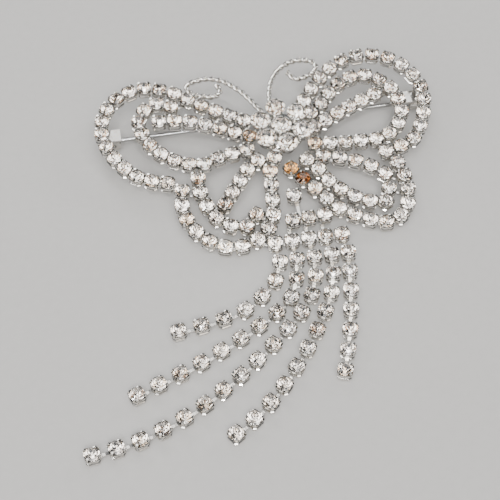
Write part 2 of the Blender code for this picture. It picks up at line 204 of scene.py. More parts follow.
def clear_glass():
    made, tree, shader, place = blank_material("lead_crystal")
    drift(tree, shader, place, SMEAR, 2.0, ("#FFFFFF", "#FBF4EC"), (0.0, 0.03), (0.45, 0.75))
    shader.inputs["Transmission Weight"].default_value = 1.0
    shader.inputs["IOR"].default_value = 1.56
    return made


# Painted reflections: each foil facet's tone stands in for the light and dark a stone shows inside
PAINTED_REFLECTION_TONES = [(0.0, "#FBF9F6"), (0.46, "#F1E9DE"), (0.60, "#F8F4F1"), (0.82, "#D2C0AA"),
              (0.88, "#A39C95"), (0.93, "#7D6450"), (0.96, "#3A3634")]
# Painted reflections: an amber glint multiplied into the foil's colour of a few stones
PAINTED_AMBER_GLINTS = [(0.0, "#FFFFFF"), (0.5, "#DDBA84"), (1.0, "#8A5A3C")]


def tone_ramp(tree, place_on_ramp, tones, interpolation):
    """A colour ramp with its own list of stops."""
    ramp = add_node(tree, "ShaderNodeValToRGB", {"Fac": place_on_ramp})
    ramp.color_ramp.interpolation = interpolation
    stops = ramp.color_ramp.elements
    while len(stops) < len(tones):
        stops.new(1.0)
    for stop, (start, tone) in zip(stops, tones):
        stop.position = start
        stop.color = linear(tone)
    return ramp.outputs["Color"]


def foil_backing():
    made, tree, shader, place = blank_material("foil_backing")
    facet = add_node(tree, "ShaderNodeAttribute", attribute_name="facet")
    stone = add_node(tree, "ShaderNodeAttribute", attribute_name="stone")
    pair = add_node(tree, "ShaderNodeCombineXYZ", {
        "X": facet.outputs["Fac"], "Y": stone.outputs["Fac"]})
    pick = add_node(tree, "ShaderNodeTexWhiteNoise", {"Vector": pair.outputs["Vector"]},
                    noise_dimensions="2D")
    painted_glint = add_node(tree, "ShaderNodeAttribute", attribute_name="painted_glint")
    # The foil's colour is painted reflection: the facet tones multiplied by the painted amber glints
    tinted = add_node(tree, "ShaderNodeMix", {
        0: 1.0, 6: tone_ramp(tree, pick.outputs["Value"], PAINTED_REFLECTION_TONES, "CONSTANT"),
        7: tone_ramp(tree, painted_glint.outputs["Fac"], PAINTED_AMBER_GLINTS, "LINEAR")},
        data_type="RGBA", blend_type="MULTIPLY")
    tree.links.new(tinted.outputs[2], shader.inputs["Base Color"])
    shader.inputs["Metallic"].default_value = 1.0
    shader.inputs["Roughness"].default_value = 0.08
    return made


lead_crystal = clear_glass()
foil = foil_backing()
print("crystal:", lead_crystal.name, "on", foil.name)

# %% [markdown]
# ## Finding the stones
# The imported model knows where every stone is: each has a flat octagonal top, the highest thing in its
# chain. So the corners of those flat tops are gathered, grouped into octagons and averaged. The whole
# butterfly leans on its pin, so its stones point along the plane's own upward direction, which is found
# from the two pin joints. The strands lie on the table and point straight up.

# %% Where the butterfly's plane stands
joints = {joint["name"]: joint for joint in frame["joints"]}
ALONG_PIN = Vector(joints["barrel_turn"]["axis"])
TOWARD_HEAD = Vector(joints["pin_hinge"]["axis"])
OUT_OF_PLANE = ALONG_PIN.cross(TOWARD_HEAD).normalized()
UPRIGHT = Vector((0.0, 0.0, 1.0))
CHAIN_STONE_TOP = 2.55 * MM      # a chain stone's flat top stands this far above its cup's foot
CORNER_REACH = 0.8 * MM          # two corners nearer than this are the same stone's
SAME_HEIGHT = 0.02 * MM
print("the plane leans", round(math.degrees(OUT_OF_PLANE.angle(UPRIGHT)), 1), "degrees")

# %% Where each stone sits
def top_groups(node_name, up):
    """The highest corners of a node, grouped into one list for each stone."""
    corners = {tuple(round(x, 7) for x in v.co) for v in frame["nodes"][node_name].data.vertices}
    corners = [Vector(corner) for corner in sorted(corners)]
    top = max(corner.dot(up) for corner in corners)
    groups = []
    for corner in (c for c in corners if top - c.dot(up) < SAME_HEIGHT):
        near = [g for g in groups if any((corner - other).length < CORNER_REACH for other in g)]
        groups = [g for g in groups if not any(g is n for n in near)]
        groups.append(sum(near, [corner]))
    return groups


def cup_feet(node_name, up):
    """The points where a chain's cups stand."""
    groups = top_groups(node_name, up)
    return [sum(g, Vector()) / len(g) - up * CHAIN_STONE_TOP for g in groups]


def in_row(feet):
    """Puts a chain's feet in order, starting at one of its two ends."""
    if len(feet) < 3:
        return sorted(feet, key=lambda foot: foot.x)

    def loneliness(foot):
        return sorted((foot - other).length for other in feet)[2]

    row = [max(feet, key=loneliness)]
    rest = [foot for foot in feet if foot is not row[0]]
    while rest:
        row.append(min(rest, key=lambda foot: (foot - row[-1]).length))
        rest.remove(row[-1])
    return row


wing_nodes = sorted(name for name in frame["nodes"]
                    if name.endswith(("_chain", "_vein", "_rung")))
wing_rows = {name: in_row(cup_feet(name, OUT_OF_PLANE)) for name in wing_nodes}
bar_row = sorted(cup_feet("tassel_bar", OUT_OF_PLANE), key=lambda foot: foot.x)
for name, row in wing_rows.items():
    print(f"{name}: {len(row)} stones")

# %% Where each strand's stones sit
strand_runs = {}
for strand, bar_cup in enumerate(bar_row, 1):
    prefix = f"strand_{strand}_run_"
    for node_name in sorted(name for name in frame["nodes"] if name.startswith(prefix)):
        feet = cup_feet(node_name, UPRIGHT)
        strand_runs[node_name] = sorted(feet, key=lambda foot: (foot - bar_cup).length)
print("strand stones:", sum(len(row) for row in strand_runs.values()))

# %% [markdown]
# ## One cup
# A cup is stamped from thin brass. It has a square base band that stands a little proud, a drawn-in
# waist, and a rim that dips at the middle of each side and rises to a claw at each corner. The claw is
# folded over the stone's edge, and the inside runs down to a hollow for the stone's point. The cup
# repeats some two hundred times, so it is drawn from a few rings of twelve corners and four small
# lofted claws.

# %% Drawing tools
def loft(bm, sections):
    """Joins rings of points, all of one length, with quads, and caps both ends."""
    rings = [[bm.verts.new(point) for point in section] for section in sections]
    for lower, upper in zip(rings, rings[1:]):
        for i in range(len(lower)):
            j = (i + 1) % len(lower)
            bm.faces.new((lower[i], lower[j], upper[j], upper[i]))
    bm.faces.new(list(reversed(rings[0])))
    bm.faces.new(rings[-1])


def shape_from(name, bm, finish=silver_plating):
    """An object from a bmesh drawn in millimetres, its faces turned outwards."""
    bmesh.ops.recalc_face_normals(bm, faces=bm.faces)
    bm.transform(Matrix.Scale(MM, 4))
    mesh = bpy.data.meshes.new(name)
    bm.to_mesh(mesh)
    bm.free()
    mesh.materials.append(finish)
    return new_object(name, mesh)


def square_ring(half, corner, side_height, corner_height):
    """Twelve points round a square with clipped corners."""
    points = []
    for quarter in range(4):
        turn = Matrix.Rotation(math.radians(90 * quarter), 3, "Z")
        points.append(turn @ Vector((half, corner - half, corner_height)))
        points.append(turn @ Vector((half, 0.0, side_height)))
        points.append(turn @ Vector((half, half - corner, corner_height)))
    return points


print("corners in one ring of a cup:", len(square_ring(1.0, 0.3, 0.0, 0.0)))

# %% The cup
CUP_HALF = 1.3                   # half the width of a cup's base band
CLAW_SECTIONS = (                # (from the axis, height, half width, half thickness)
    (1.42, 1.15, 0.24, 0.12), (1.55, 1.90, 0.24, 0.13), (1.43, 2.20, 0.22, 0.12),
    (1.16, 2.30, 0.15, 0.08))
CLAW_LEAN = math.radians(63)     # how far a claw's tip has turned over the stone


def add_claw(bm, sections, angle):
    """A folded claw, lofted through its sections."""
    turn = Matrix.Rotation(angle, 3, "Z")
    drawn = []
    for i, (out, height, wide, thick) in enumerate(sections):
        tip = CLAW_LEAN * i / (len(sections) - 1)
        flat = Vector((math.cos(tip), 0, math.sin(tip)))
        middle = Vector((out, 0, height))
        drawn.append([turn @ (middle + flat * thick * a + Vector((0, wide * b, 0)))
                      for a, b in ((-1, -1), (1, -1), (1, 1), (-1, 1))])
    loft(bm, drawn)


def draw_cup():
    bm = bmesh.new()
    loft(bm, [square_ring(1.12, 0.38, 0.0, 0.0), square_ring(CUP_HALF, 0.42, 0.12, 0.12),
              square_ring(CUP_HALF, 0.42, 0.48, 0.48), square_ring(1.16, 0.40, 0.62, 0.62),
              square_ring(1.40, 0.40, 1.62, 1.84), square_ring(1.16, 0.40, 1.5, 1.5),
              square_ring(0.3, 0.1, 0.4, 0.4)])
    for quarter in range(4):
        add_claw(bm, CLAW_SECTIONS, math.radians(45 + 90 * quarter))
    return shape_from("claw_cup", bm)


claw_cup = draw_cup()
print("cup:", len(claw_cup.data.polygons), "faces")

# %% [markdown]
# ## The cut stone
# A chain stone has an eight-sided table on top, a crown of twenty-four facets down to its edge, and a
# pointed back of thirty-two foiled facets in two rows. The back's slopes stand near 45 degrees, because
# two such mirrors facing each other send light back to where it came from: that is a stone's life. The
# flower's larger stones have an extra row of small star facets round the table. Both are drawn from
# rings of corners by one function. Every face gets a number of its own, `facet`, that picks the foil's
# painted reflection tone, and the back's faces are marked `foiled`.

# %% The stones
# the foil tones these numbers pick are painted reflections
FACET_STEP = 0.37                # keeps the facets' numbers apart for the foil's tones
WAIST = (0.56, 0.50)             # where the back's two rows meet, as shares of its radius and depth


def ring_of(bm, radius, height, count, turned=0.0):
    """Corners evenly round a circle, turned by a share of one step."""
    angles = [math.tau / count * (i + turned) for i in range(count)]
    return [bm.verts.new((radius * math.cos(a), radius * math.sin(a), height)) for a in angles]


def cut_stone(name, radius, table, crown, belt, depth, stars=False):
    """A brilliant with its table up. Its widest edge is at height zero."""
    bm = bmesh.new()
    top = ring_of(bm, radius * table, crown, 8)
    edge = ring_of(bm, radius, 0.0, 16)
    under = ring_of(bm, radius, -belt, 16)
    waist = ring_of(bm, radius * WAIST[0], -belt - depth * WAIST[1], 8, 0.5)
    point = bm.verts.new((0.0, 0.0, -belt - depth))
    bm.faces.new(top)
    shoulder = ring_of(bm, radius * (1 + table) / 2, crown * 0.58, 8, 0.5) if stars else None
    for k in range(8):
        here, there = top[k], top[(k + 1) % 8]
        left, middle, right = (edge[(2 * k + i) % 16] for i in (-1, 0, 1))
        if stars:
            before, after = shoulder[k - 1], shoulder[k]
            faces = [(here, after, there), (here, before, middle, after),
                     (before, left, middle), (after, middle, right)]
        else:
            faces = [(here, left, middle), (here, middle, right), (here, right, there)]
        for face in faces:
            bm.faces.new(face)
    for i in range(16):
        j = (i + 1) % 16
        bm.faces.new((edge[i], under[i], under[j], edge[j]))
    foiled = []
    for k in range(8):
        here, there = waist[k - 1], waist[k]
        left, middle, right = (under[(2 * k + i) % 16] for i in (-1, 0, 1))
        for face in ((left, here, middle), (middle, here, there), (middle, there, right),
                     (here, point, there)):
            foiled.append(bm.faces.new(face))
    bm.faces.index_update()
    backs = {face.index for face in foiled}
    stone = shape_from(name, bm, lead_crystal)
    number = stone.data.attributes.new("facet", "FLOAT", "FACE")
    back = stone.data.attributes.new("foiled", "BOOLEAN", "FACE")
    for polygon in stone.data.polygons:
        number.data[polygon.index].value = polygon.index * FACET_STEP
        back.data[polygon.index].value = polygon.index in backs
    return stone


# Radius, table as a share of it, and the heights of crown, belt and back, in millimetres
chain_stone = cut_stone("chain_stone", 1.42, 0.54, 0.58, 0.08, 1.30)
flower_stone = cut_stone("flower_stone", 1.86, 0.54, 0.86, 0.10, 1.8, stars=True)
print("stones:", len(chain_stone.data.polygons), "and", len(flower_stone.data.polygons), "faces")

# %% [markdown]
# ## Links
# In the wings the cups almost touch, and a short strap joins each to the next. In the strands the cups
# stand further apart, and each link ends in a tongue that swings between two small cheeks on the next
# cup. The link is drawn with its hinge at the origin and its length along x, so a strand can bend there
# without metal passing through metal.

# %% Straps, swinging links and cheeks
LINK_REACH = 1.6                 # from the hinge to inside the cup that carries the link


def block(along, wide, thick):
    """Four corners of a bar's cross-section at one place along it."""
    return [Vector((along, wide * a, thick * b)) for a, b in ((-1, -1), (1, -1), (1, 1), (-1, 1))]


def draw_strap():
    bm = bmesh.new()
    loft(bm, [block(-0.5, 0.34, 0.17), block(0.0, 0.27, 0.13), block(0.5, 0.34, 0.17)])
    return shape_from("wing_strap", bm)


def draw_link():
    bm = bmesh.new()
    loft(bm, [block(-0.16, 0.15, 0.07), block(-0.08, 0.15, 0.16), block(0.19, 0.15, 0.16),
              block(0.21, 0.33, 0.18), block(0.75, 0.25, 0.13), block(LINK_REACH, 0.34, 0.18)])
    return shape_from("swinging_link", bm)


def draw_cheeks():
    bm = bmesh.new()
    outline = ((-0.36, -0.17), (0.07, -0.17), (0.17, -0.07), (0.17, 0.07), (0.07, 0.17), (-0.36, 0.17))
    for side in (-1, 1):
        loft(bm, [[Vector((x, side * 0.25 + edge, z)) for x, z in outline] for edge in (-0.07, 0.07)])
    corners = [math.radians(60 * i) for i in range(6)]
    loft(bm, [[Vector((0.07 * math.cos(a), y, 0.07 * math.sin(a))) for a in corners]
              for y in (-0.36, 0.36)])
    return shape_from("hinge_cheeks", bm)


wing_strap, swinging_link, hinge_cheeks = draw_strap(), draw_link(), draw_cheeks()
print("link:", len(swinging_link.data.polygons), "faces, cheeks:", len(hinge_cheeks.data.polygons))

# %% [markdown]
# ## Setting shapes along a chain
# Two hundred cups aren't placed by hand. A small Geometry Nodes tree does it: it takes a mesh of points,
# one for each cup, puts a shape on every point, turns it as the point's `turn` says and stretches it as
# its `stretch` says. A little random wobble keeps the row from looking machine-made. The tree ends by
# making the copies real and giving them their finish, and faces marked `foiled` get the backing.

# %% The placing tree
def placing_tree():
    tree = bpy.data.node_groups.new("set_along_chain", "GeometryNodeTree")
    for name, kind in (("Geometry", "Geometry"), ("Shape", "Object"), ("Finish", "Material"),
                       ("Backing", "Material"), ("Wobble", "Float"), ("Seed", "Int")):
        tree.interface.new_socket(name, in_out="INPUT", socket_type="NodeSocket" + kind)
    tree.interface.new_socket("Geometry", in_out="OUTPUT", socket_type="NodeSocketGeometry")
    given = add_node(tree, "NodeGroupInput").outputs
    shape = add_node(tree, "GeometryNodeObjectInfo", {"Object": given["Shape"], "As Instance": True})
    turn = add_node(tree, "GeometryNodeInputNamedAttribute", {"Name": "turn"}, data_type="FLOAT_VECTOR")
    stretch = add_node(tree, "GeometryNodeInputNamedAttribute", {"Name": "stretch"},
                       data_type="FLOAT_VECTOR")
    least = add_node(tree, "ShaderNodeMath", {0: given["Wobble"], 1: -1.0}, operation="MULTIPLY")
    wobble = add_node(tree, "FunctionNodeRandomValue", {
        0: least.outputs[0], 1: given["Wobble"], "Seed": given["Seed"]}, data_type="FLOAT_VECTOR")
    base_turn = add_node(tree, "FunctionNodeEulerToRotation", {0: turn.outputs["Attribute"]})
    loose_turn = add_node(tree, "FunctionNodeEulerToRotation", {0: wobble.outputs[0]})
    turned = add_node(tree, "FunctionNodeRotateRotation", {
        0: base_turn.outputs[0], 1: loose_turn.outputs[0]}, rotation_space="LOCAL")
    placed = add_node(tree, "GeometryNodeInstanceOnPoints", {
        "Points": given["Geometry"], "Instance": shape.outputs["Geometry"],
        "Rotation": turned.outputs[0], "Scale": stretch.outputs["Attribute"]})
    real = add_node(tree, "GeometryNodeRealizeInstances", {"Geometry": placed.outputs["Instances"]})
    finished = add_node(tree, "GeometryNodeSetMaterial", {
        "Geometry": real.outputs["Geometry"], "Material": given["Finish"]})
    backs = add_node(tree, "GeometryNodeInputNamedAttribute", {"Name": "foiled"}, data_type="BOOLEAN")
    backed = add_node(tree, "GeometryNodeSetMaterial", {
        "Geometry": finished.outputs["Geometry"], "Selection": backs.outputs["Attribute"],
        "Material": given["Backing"]})
    add_node(tree, "NodeGroupOutput", {"Geometry": backed.outputs["Geometry"]})
    return tree


set_along_chain = placing_tree()


def socket_ids(tree):
    """The identifiers of a tree's inputs, by name."""
    return {item.name: item.identifier for item in tree.interface.items_tree if item.in_out == "INPUT"}


print("tree inputs:", list(socket_ids(set_along_chain)))

# %% Using the tree
# the foil tones these numbers pick are painted reflections
STONE_STEP = 0.731               # keeps the stones' numbers apart for the foil's tones


def placing(at, forward, up, stretch=(1.0, 1.0, 1.0)):
    """One copy's place: its origin, the directions of its x and z axes, and its stretch."""
    x = (forward - up * forward.dot(up)).normalized()
    basis = Matrix((x, up.cross(x), up)).transposed()
    return at, basis.to_euler(), stretch


def settled(carrier, modifier):
    """The plain mesh that a modifier makes, with the modifier taken off again."""
    graph = bpy.context.evaluated_depsgraph_get()
    mesh = bpy.data.meshes.new_from_object(carrier.evaluated_get(graph))
    carrier.modifiers.remove(modifier)
    return mesh


def set_copies(name, shape, places, finish, wobble_degrees=0.0, seed=1, painted_glint=None):
    """Copies of a shape at every place, as one plain mesh object."""
    points = bpy.data.meshes.new(name)
    points.from_pydata([at for at, turn, stretch in places], [], [])
    for label, values in (("turn", [tuple(turn) for at, turn, stretch in places]),
                          ("stretch", [stretch for at, turn, stretch in places])):
        attribute = points.attributes.new(label, "FLOAT_VECTOR", "POINT")
        attribute.data.foreach_set("vector", [x for value in values for x in value])
    numbers = [seed + STONE_STEP * i for i in range(len(places))]
    for label, values in (("stone", numbers), ("painted_glint", painted_glint or [0.0] * len(places))):
        points.attributes.new(label, "FLOAT", "POINT").data.foreach_set("value", values)
    carrier = new_object(name, points)
    modifier = carrier.modifiers.new("Copies", "NODES")
    modifier.node_group = set_along_chain
    ids = socket_ids(set_along_chain)
    for label, value in (("Shape", shape), ("Finish", finish), ("Backing", foil),
                         ("Wobble", math.radians(wobble_degrees)), ("Seed", seed)):
        modifier[ids[label]] = value
    mesh = settled(carrier, modifier)
    mesh.name = name
    for label in ("turn", "stretch"):
        if label in mesh.attributes:
            mesh.attributes.remove(mesh.attributes[label])
    carrier.data = mesh
    bpy.data.meshes.remove(points)
    return carrier


def join(name, pieces):
    """Joins plain pieces that are soldered into one."""
    bm = bmesh.new()
    for piece in pieces:
        bm.from_mesh(piece.data)
    mesh = bpy.data.meshes.new(name)
    bm.to_mesh(mesh)
    bm.free()
    mesh.materials.append(pieces[0].data.materials[0])
    for piece in pieces:
        bpy.data.objects.remove(piece)
    return new_object(name, mesh)


def install(piece, body, slot, *nodes):
    """Rides a finished piece on its body and lets it stand for its CAD nodes."""
    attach(piece, body)
    if nodes:
        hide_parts(*nodes)


print("a copy along the pin is turned by", tuple(placing(Vector(), ALONG_PIN, UPRIGHT)[1]))

# %% [markdown]
# ## The wing chains
# Each wing chain becomes two pieces: its metal, which is cups and straps, and its stones. A cup faces
# along its row, so its flat sides look at its neighbours, as stamped chain does. Stones sit a touch
# unevenly in their cups, so they get the larger wobble.

# %% Wings
GIRDLE_HEIGHT = 1.92 * MM        # the widest edge of a stone above its cup's foot
STRAP_HEIGHT = 0.36 * MM         # a strap's middle above the cups' feet
CUP_WALL = 1.18 * MM             # straps start inside the cup's wall
CUP_WOBBLE, STONE_WOBBLE = 1.5, 4.0  # degrees


def directions(row):
    """The direction of a row at each of its cups."""
    if len(row) == 1:
        return [ALONG_PIN]
    last = len(row) - 1
    return [(row[min(i + 1, last)] - row[max(i - 1, 0)]).normalized() for i in range(len(row))]


def strap_between(a, b, up):
    """A strap's place from one cup to another."""
    along = (b - a).normalized()
    start, end = a + along * CUP_WALL, b - along * CUP_WALL
    return placing((start + end) / 2 + up * STRAP_HEIGHT, along, up,
                   ((end - start).length / MM, 1.0, 1.0))


def chain_metal(name, row, headings, up, straps, seed):
    places = [placing(at, ahead, up) for at, ahead in zip(row, headings)]
    cups = set_copies(name + "_row", claw_cup, places, silver_plating, CUP_WOBBLE, seed)
    if not straps:
        return join(name, [cups])
    return join(name, [cups, set_copies(name + "_straps", wing_strap, straps, silver_plating)])


def chain_stones(name, row, headings, up, seed, painted_glint=None):
    places = [placing(at + up * GIRDLE_HEIGHT, ahead, up) for at, ahead in zip(row, headings)]
    return set_copies(name, chain_stone, places, lead_crystal, STONE_WOBBLE, seed, painted_glint)


# How strong the painted amber glint is on the stones nearest the flower, the nearest first: a reflection
# painted into the foil's colour
PAINTED_GLINT_STONES = {"right_lower_outer_chain": (0.45, 0.85), "right_upper_inner_chain": (0.2, 0.0),
               "left_upper_vein": (0.2, 0.0), "left_lower_outer_chain": (0.0, 0.15)}
FLOWER_MIDDLE = sum(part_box("centre_stone"), Vector()) / 2


def painted_glint_of(name, row):
    """How strong a painted amber glint each stone of a chain gets."""
    nearest = sorted(range(len(row)), key=lambda i: (row[i] - FLOWER_MIDDLE).length)
    return [dict(zip(nearest, PAINTED_GLINT_STONES.get(name, ()))).get(i, 0.0) for i in range(len(row))]


for seed, (name, row) in enumerate(wing_rows.items(), 1):
    headings = directions(row)
    straps = [strap_between(a, b, OUT_OF_PLANE) for a, b in zip(row, row[1:])]
    install(chain_metal(name + "_cups", row, headings, OUT_OF_PLANE, straps, seed),
            "butterfly", "silver_plate", name)
    install(chain_stones(name + "_stones", row, headings, OUT_OF_PLANE, seed, painted_glint_of(name, row)),
            "butterfly", "clear_crystal")
print("wing chains:", len(wing_rows))

# %% [markdown]
# ## The tassel
# The bar is five cups side by side. Three straps tie it up to the rung above, and a link swings down to
# each strand. Every link's hinge is where the model's joint is, so the pieces keep their places when a
# strand bends. A strand's cheeks ride with the run that swings, and the link with the run that holds it.

# %% Bar and strands
HINGE_REACH = 1.515 * MM         # from a cup's middle to the hinge in front of it
HINGE_HEIGHT = 0.55 * MM         # above the cup's foot


def hinge_before(cup, previous):
    """Where a cup hangs on the link from the cup before it."""
    return cup + (previous - cup).normalized() * HINGE_REACH + UPRIGHT * HINGE_HEIGHT


def link_place(hinge, holder, up):
    """A swinging link, from its hinge back into the cup that holds it."""
    target = holder + up * HINGE_HEIGHT
    back = target - hinge
    length = back.length - CUP_WALL
    side = back.cross(UPRIGHT).normalized()
    return placing(hinge, back, side.cross(back).normalized(), (length / (LINK_REACH * MM), 1.0, 1.0))


rung_row = sorted(wing_rows["lower_rung"], key=lambda foot: foot.x)
rung_level = rung_row[0].dot(TOWARD_HEAD)
bar_straps = [strap_between(a, b, OUT_OF_PLANE) for a, b in zip(bar_row, bar_row[1:])]
for cup in bar_row[1:4]:
    above = cup + TOWARD_HEAD * (rung_level - cup.dot(TOWARD_HEAD))
    bar_straps.append(strap_between(cup, above, OUT_OF_PLANE))
bar_heads = [ALONG_PIN] * len(bar_row)
BAR_SEED = 21
bar_links = []
for strand, holder in enumerate(bar_row, 1):
    hinge = Vector(joints[f"strand_{strand}_bend_1"]["pos_m"])
    bar_links.append(link_place(hinge, holder, OUT_OF_PLANE))
bar_metal = join("tassel_bar_cups", [
    chain_metal("bar_metal", bar_row, bar_heads, OUT_OF_PLANE, bar_straps, BAR_SEED),
    set_copies("bar_links", swinging_link, bar_links, silver_plating)])
install(bar_metal, "butterfly", "silver_plate", "tassel_bar")
install(chain_stones("tassel_bar_stones", bar_row, bar_heads, OUT_OF_PLANE, BAR_SEED),
        "butterfly", "clear_crystal")

for strand, bar_cup in enumerate(bar_row, 1):
    names = sorted(name for name in strand_runs if name.startswith(f"strand_{strand}_"))
    head = Vector((bar_cup.x, bar_cup.y, strand_runs[names[0]][0].z))
    row = [head] + [foot for name in names for foot in strand_runs[name]]
    all_headings = directions(row)
    for name in names:
        feet = strand_runs[name]
        first = row.index(feet[0])
        headings = all_headings[first:first + len(feet)]
        seed = 30 + first + 20 * strand  # no two runs share one
        links, cheeks = [], []
        for i in range(first, first + len(feet)):
            cheeks.append(placing(hinge_before(row[i], row[i - 1]), row[i - 1] - row[i], UPRIGHT))
            if i + 1 < len(row):
                links.append(link_place(hinge_before(row[i + 1], row[i]), row[i], UPRIGHT))
        pieces = [chain_metal(name + "_metal", feet, headings, UPRIGHT, [], seed),
                  set_copies(name + "_cheeks", hinge_cheeks, cheeks, silver_plating)]
        if links:
            pieces.append(set_copies(name + "_links", swinging_link, links, silver_plating))
        install(join(name + "_cups", pieces), name, "silver_plate", name)
        install(chain_stones(name + "_stones", feet, headings, UPRIGHT, seed), name, "clear_crystal")
    print(f"strand {strand}: {len(row) - 1} stones in {len(names)} runs")

# %% [markdown]
# ## The flower
# Seven larger crystals make the flower, one in the middle and six round it. Each sits in a turned cup
# with a thin wall, and eight small claws are pushed over its edge. The cup is a profile turned about its
# own axis, its claws are lofted as the chain's were, and the same tree sets it in its place.

# %% Turned shapes
def turned(bm, profile, steps):
    """Turns a profile of (radius, height) about z. It starts and ends on the axis."""
    rings = [ring_of(bm, radius, height, steps) for radius, height in profile[1:-1]]
    bottom, top = (bm.verts.new((0, 0, profile[i][1])) for i in (0, -1))
    for i in range(steps):
        j = (i + 1) % steps
        bm.faces.new((bottom, rings[0][j], rings[0][i]))
        bm.faces.new((rings[-1][i], rings[-1][j], top))
        for lower, upper in zip(rings, rings[1:]):
            bm.faces.new((lower[i], lower[j], upper[j], upper[i]))


def smooth(piece, degrees):
    """Smooth shading that stays sharp at edges steeper than the angle."""
    piece.data.shade_smooth()
    piece.data.set_sharp_from_angle(angle=math.radians(degrees))


# %% Settings and stones
SETTING_PROFILE = ((0.0, 0.0), (1.15, 0.0), (1.27, 0.08), (1.27, 0.34), (1.18, 0.46), (1.20, 1.15),
                   (1.42, 1.42), (1.86, 1.86), (1.97, 2.10), (1.97, 2.36), (1.90, 2.36), (1.70, 1.9),
                   (0.8, 0.7), (0.3, 0.36), (0.0, 0.34))
SETTING_CLAW = ((0.12, -0.30, 0.20, 0.07), (0.15, 0.12, 0.18, 0.08), (0.05, 0.30, 0.14, 0.07),
                (-0.20, 0.42, 0.09, 0.05))
CLAWS = 8
CLAW_RING, CLAW_RISE = 1.78, 2.3 # where a claw grows from the wall: from the axis, and its height
FLOWER_GIRDLE = 2.32 * MM        # the widest edge of a flower stone above its setting's foot
FLOWER_STONE_TOP = 3.2 * MM      # the model's flat top above the same foot


def draw_setting():
    bm = bmesh.new()
    turned(bm, SETTING_PROFILE, 28)
    for i in range(CLAWS):
        shifted = [(out + CLAW_RING, height + CLAW_RISE, wide, thick)
                   for out, height, wide, thick in SETTING_CLAW]
        add_claw(bm, shifted, math.tau * (i + 0.5) / CLAWS)
    return shape_from("flower_setting", bm)


flower_setting = draw_setting()
stone_tops = {}
for name in sorted(frame["nodes"]):
    if name.endswith("_stone"):
        corners = [c for g in top_groups(name, OUT_OF_PLANE) for c in g]
        stone_tops[name] = sum(corners, Vector()) / len(corners)
flower_feet = {name: top - OUT_OF_PLANE * FLOWER_STONE_TOP for name, top in stone_tops.items()}
middle = flower_feet["centre_stone"]
for seed, (name, foot) in enumerate(flower_feet.items(), 200):
    outward = foot - middle if name != "centre_stone" else ALONG_PIN
    petal = name.removesuffix("_stone")
    setting = set_copies(petal + "_claw_setting", flower_setting,
                         [placing(foot, outward, OUT_OF_PLANE)], silver_plating, 0.0, seed)
    smooth(setting, 35)
    install(setting, "butterfly", "silver_plate", petal + "_setting")
    stone = set_copies(petal + "_crystal", flower_stone,
                       [placing(foot + OUT_OF_PLANE * FLOWER_GIRDLE, outward, OUT_OF_PLANE)],
                       lead_crystal, 3.0, seed)
    install(stone, "butterfly", "clear_crystal", name)
print("flower stones:", len(flower_feet))

# %% [markdown]
# ## The antennae
# Each antenna is two thin wires twisted together like a rope and curled at the end. A wire's place in
# the twist follows a rule, so Geometry Nodes draw it: the route is cut into short steps, and each wire
# stands off the route by a fixed distance, in a direction that turns steadily along it. The second wire
# is half a turn behind the first.

# %% Twisting tree
def twisting_tree():
    tree = bpy.data.node_groups.new("twist_wires", "GeometryNodeTree")
    for name, kind in (("Geometry", "Geometry"), ("Wire Radius", "Float"), ("Stand Off", "Float"),
                       ("Lay", "Float"), ("Step", "Float"), ("Finish", "Material")):
        tree.interface.new_socket(name, in_out="INPUT", socket_type="NodeSocket" + kind)
    tree.interface.new_socket("Geometry", in_out="OUTPUT", socket_type="NodeSocketGeometry")
    given = add_node(tree, "NodeGroupInput").outputs
    steps = add_node(tree, "GeometryNodeResampleCurve", {
        "Curve": given["Geometry"], "Length": given["Step"]}, mode="LENGTH")
    travelled = add_node(tree, "GeometryNodeSplineParameter").outputs["Length"]
    normal = add_node(tree, "GeometryNodeInputNormal").outputs["Normal"]
    tangent = add_node(tree, "GeometryNodeInputTangent").outputs["Tangent"]
    across = add_node(tree, "ShaderNodeVectorMath", {0: tangent, 1: normal}, operation="CROSS_PRODUCT")
    turns = add_node(tree, "ShaderNodeMath", {0: travelled, 1: given["Lay"]}, operation="DIVIDE")
    angle = add_node(tree, "ShaderNodeMath", {0: turns.outputs[0], 1: math.tau}, operation="MULTIPLY")
    round_wire = add_node(tree, "GeometryNodeCurvePrimitiveCircle", {
        "Resolution": 8, "Radius": given["Wire Radius"]})
    both = add_node(tree, "GeometryNodeJoinGeometry")
    for start in (0.0, math.pi):
        here = add_node(tree, "ShaderNodeMath", {0: angle.outputs[0], 1: start}, operation="ADD")
        sides = []
        for kind, direction in (("COSINE", normal), ("SINE", across.outputs[0])):
            share = add_node(tree, "ShaderNodeMath", {0: here.outputs[0]}, operation=kind)
            reach = add_node(tree, "ShaderNodeMath", {
                0: share.outputs[0], 1: given["Stand Off"]}, operation="MULTIPLY")
            sides.append(add_node(tree, "ShaderNodeVectorMath", {
                0: direction, "Scale": reach.outputs[0]}, operation="SCALE").outputs[0])
        offset = add_node(tree, "ShaderNodeVectorMath", {0: sides[0], 1: sides[1]}, operation="ADD")
        moved = add_node(tree, "GeometryNodeSetPosition", {
            "Geometry": steps.outputs["Curve"], "Offset": offset.outputs[0]})
        wire = add_node(tree, "GeometryNodeCurveToMesh", {
            "Curve": moved.outputs["Geometry"], "Profile Curve": round_wire.outputs["Curve"],
            "Fill Caps": True})
        tree.links.new(wire.outputs["Mesh"], both.inputs["Geometry"])
    real = add_node(tree, "GeometryNodeRealizeInstances", {"Geometry": both.outputs["Geometry"]})
    finished = add_node(tree, "GeometryNodeSetMaterial", {
        "Geometry": real.outputs["Geometry"], "Material": given["Finish"]})
    add_node(tree, "NodeGroupOutput", {"Geometry": finished.outputs["Geometry"]})
    return tree


twist_wires = twisting_tree()
print("twisting tree has", len(twist_wires.nodes), "nodes")

